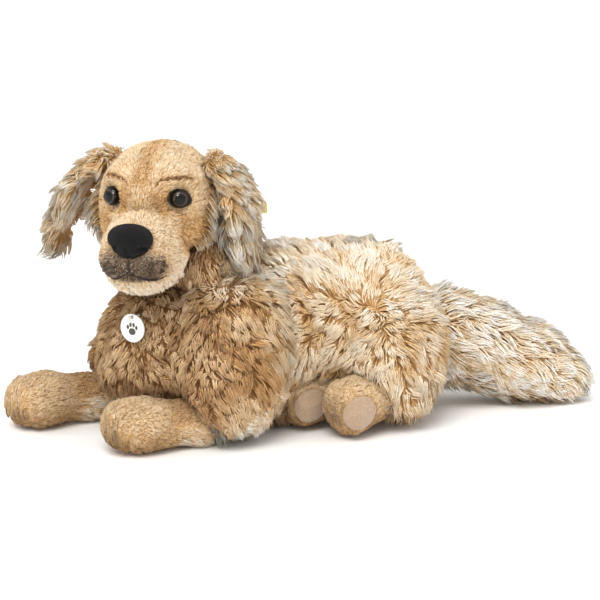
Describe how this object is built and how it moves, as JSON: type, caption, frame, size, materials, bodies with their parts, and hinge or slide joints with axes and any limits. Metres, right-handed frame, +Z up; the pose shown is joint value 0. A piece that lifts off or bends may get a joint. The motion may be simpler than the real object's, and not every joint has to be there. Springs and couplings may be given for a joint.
{
  "type": "plush dog",
  "caption": "Lying plush dog with a turning, nodding head, lifting ears, bending forearms and hind feet, a wagging tail and a hanging chest tag.",
  "frame": {"origin": "under the middle of the dog's outline, on the plane it lies on", "axes": "+Z up; -X the way the chest faces; -Y the dog's left side; the head is turned to the dog's left"},
  "size_m": [0.5907, 0.239, 0.296],
  "materials": {
    "long_plush": "long pile plush",
    "short_plush": "short pile plush",
    "pale_plush": "short pale plush",
    "filling": "polyester fibre",
    "pellets": "pellets in a cloth pouch",
    "suede": "suede cloth",
    "dark_flock": "flocked",
    "dark_felt": "felt",
    "brown_thread": "embroidery thread",
    "white_thread": "cotton thread",
    "eye_plastic": "glossy, dark brown",
    "washer_plastic": "moulded",
    "tag_plastic": "glossy",
    "label_ribbon": "woven ribbon"
  },
  "bodies": {
    "torso": {"flank_panel_left": "long_plush", "flank_panel_right": "long_plush", "belly_panel": "long_plush", "torso_stuffing": "filling", "pellet_pouch": "pellets", "sleeve_left_cover": "long_plush", "sleeve_left_stuffing": "filling", "sleeve_right_cover": "long_plush", "sleeve_right_stuffing": "filling", "thigh_left_cover": "long_plush", "thigh_left_stuffing": "filling", "tag_thread": "white_thread"},
    "neck": {"neck_cover": "long_plush", "neck_stuffing": "filling"},
    "head": {"forehead_gusset": "short_plush", "cheek_panel_left": "long_plush", "cheek_panel_right": "long_plush", "head_stuffing": "filling", "muzzle_cover": "short_plush", "muzzle_stuffing": "filling", "chin_cover": "pale_plush", "nose": "dark_flock", "mouth_thread": "brown_thread", "eye_left": "eye_plastic", "eye_right": "eye_plastic", "eye_felt_left": "dark_felt", "eye_felt_right": "dark_felt", "eye_washer_left": "washer_plastic", "eye_washer_right": "washer_plastic"},
    "ear_left": {"ear_left_cover": "long_plush", "ear_left_lining": "suede", "ear_label": "label_ribbon"},
    "ear_right": {"ear_right_cover": "long_plush", "ear_right_lining": "suede"},
    "forearm_left": {"forearm_left_cover": "short_plush", "forearm_left_stuffing": "filling", "forearm_left_toe_thread": "brown_thread"},
    "forearm_right": {"forearm_right_cover": "short_plush", "forearm_right_stuffing": "filling", "forearm_right_toe_thread": "brown_thread"},
    "foot_left": {"foot_left_cover": "short_plush", "foot_left_stuffing": "filling", "foot_left_sole": "suede", "foot_left_toe_thread": "brown_thread"},
    "foot_right": {"foot_right_cover": "short_plush", "foot_right_stuffing": "filling", "foot_right_sole": "suede", "foot_right_toe_thread": "brown_thread"},
    "tail_root": {"tail_root_cover": "long_plush", "tail_root_stuffing": "filling"},
    "tail": {"tail_cover": "long_plush", "tail_stuffing": "filling"},
    "tag": {"chest_tag": "tag_plastic"}
  },
  "joints": [
    {"name": "neck_turn", "type": "hinge", "parent": "torso", "child": "neck", "pos_m": [-0.1392, 0.0082, 0.158], "axis": [0, 0, 1], "range_deg": [-25, 8], "stiffness_Nm_per_rad": 0.6},
    {"name": "head_nod", "type": "hinge", "parent": "neck", "child": "head", "pos_m": [-0.1542, 0.0042, 0.234], "axis": [-0.7771, 0.6293, 0], "range_deg": [-8, 10], "stiffness_Nm_per_rad": 2},
    {"name": "ear_left_lift", "type": "hinge", "parent": "head", "child": "ear_left", "pos_m": [-0.11079, -0.02323, 0.276], "axis": [-0.6293, -0.7771, 0], "range_deg": [0, 50]},
    {"name": "ear_right_lift", "type": "hinge", "parent": "head", "child": "ear_right", "pos_m": [-0.19006, 0.04096, 0.276], "axis": [0.6293, 0.7771, 0], "range_deg": [-15, 30], "stiffness_Nm_per_rad": 0.05},
    {"name": "forearm_left_lift", "type": "hinge", "parent": "torso", "child": "forearm_left", "pos_m": [-0.1432, -0.0558, 0.028], "axis": [0, 1, 0], "range_deg": [0, 25], "stiffness_Nm_per_rad": 0.3},
    {"name": "forearm_right_lift", "type": "hinge", "parent": "torso", "child": "forearm_right", "pos_m": [-0.1942, 0.0812, 0.028], "axis": [0, 1, 0], "range_deg": [0, 25], "stiffness_Nm_per_rad": 0.3},
    {"name": "foot_left_lift", "type": "hinge", "parent": "torso", "child": "foot_left", "pos_m": [0.0368, -0.0778, 0.036], "axis": [0, 1, 0], "range_deg": [0, 14], "stiffness_Nm_per_rad": 0.3},
    {"name": "foot_right_lift", "type": "hinge", "parent": "torso", "child": "foot_right", "pos_m": [0.0048, -0.0338, 0.034], "axis": [0, 1, 0], "range_deg": [0, 14], "stiffness_Nm_per_rad": 0.3},
    {"name": "tail_wag", "type": "hinge", "parent": "torso", "child": "tail_root", "pos_m": [0.1568, -0.0078, 0.076], "axis": [0, 0, 1], "range_deg": [-12, 12], "stiffness_Nm_per_rad": 0.6},
    {"name": "tail_lift", "type": "hinge", "parent": "tail_root", "child": "tail", "pos_m": [0.2108, -0.0278, 0.053], "axis": [-0.3906, -0.9206, 0], "range_deg": [0, 24], "stiffness_Nm_per_rad": 0.4},
    {"name": "tag_swing", "type": "hinge", "parent": "torso", "child": "tag", "pos_m": [-0.2012, -0.0338, 0.131], "axis": [-0.5299, 0.848, 0], "range_deg": [0, 40]}
  ]
}
